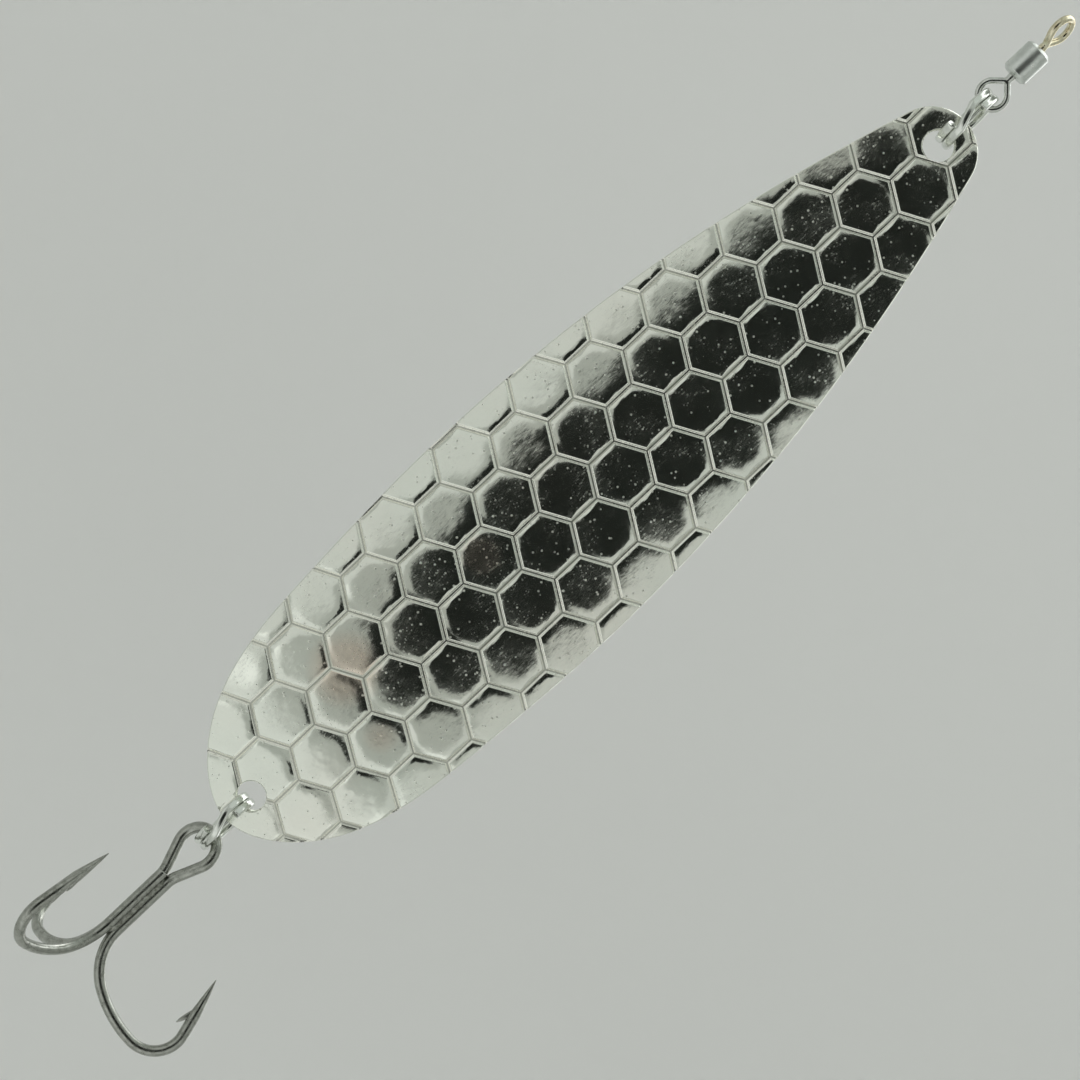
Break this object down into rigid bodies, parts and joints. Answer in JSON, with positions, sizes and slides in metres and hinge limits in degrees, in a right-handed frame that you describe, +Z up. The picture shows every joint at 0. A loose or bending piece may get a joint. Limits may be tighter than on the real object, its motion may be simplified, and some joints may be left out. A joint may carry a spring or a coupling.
{
  "type": "spoon lure",
  "caption": "Casting spoon: a cupped metal blade embossed with hexagons, a rolling swivel at its nose and a brazed treble hook at its tail, both on split rings.",
  "frame": {"origin": "centre of the line eye's opening, where the line or snap holds the lure", "axes": "+Z up along the hanging lure towards the line, +X across the blade, -Y out of the blade's crowned, patterned face"},
  "size_m": [0.0364, 0.0326, 0.1913],
  "materials": {
    "warm_wire": "nickel wash over brass wire, worn warm",
    "plated_sleeve": "bright nickel, turned",
    "plated_wire": "nickel-plated wire",
    "ring_steel": "polished flattened wire",
    "plated_blade": "mirror nickel plate over brass, fine hammer specks",
    "hook_steel": "tinned steel wire, slightly dull",
    "braze": "rough brazing metal, darkened"
  },
  "bodies": {
    "line_loop": {"line_eye": "warm_wire"},
    "barrel": {"swivel_barrel": "plated_sleeve"},
    "lure_loop": {"lure_eye": "plated_wire"},
    "nose_ring": {"nose_split_ring": "ring_steel"},
    "blade": {"spoon_blade": "plated_blade"},
    "tail_ring": {"tail_split_ring": "ring_steel"},
    "treble": {"double_hook": "hook_steel", "single_hook": "hook_steel", "braze_joint": "braze"}
  },
  "joints": [
    {"name": "barrel_spin", "type": "hinge", "parent": "line_loop", "child": "barrel", "pos_m": [0, 0, -0.00383], "axis": [0, 0, 1], "continuous": true},
    {"name": "loop_spin", "type": "hinge", "parent": "barrel", "child": "lure_loop", "pos_m": [0, 0, -0.00903], "axis": [0, 0, 1], "continuous": true},
    {"name": "nose_ring_swing", "type": "hinge", "parent": "lure_loop", "child": "nose_ring", "pos_m": [0, 0, -0.01486], "axis": [0.9976, -0.0698, 0], "range_deg": [-55, 55]},
    {"name": "blade_swing", "type": "hinge", "parent": "nose_ring", "child": "blade", "pos_m": [0, 0, -0.02308], "axis": [0, -0.9966, 0.0828], "range_deg": [-100, 100]},
    {"name": "tail_ring_swing", "type": "hinge", "parent": "blade", "child": "tail_ring", "pos_m": [0, 0.00584, -0.15556], "axis": [0.9976, -0.0698, 0], "range_deg": [-55, 70]},
    {"name": "treble_swing", "type": "hinge", "parent": "tail_ring", "child": "treble", "pos_m": [0, 0.00584, -0.16316], "axis": [0.5, 0.866, 0], "range_deg": [-70, 70]}
  ]
}
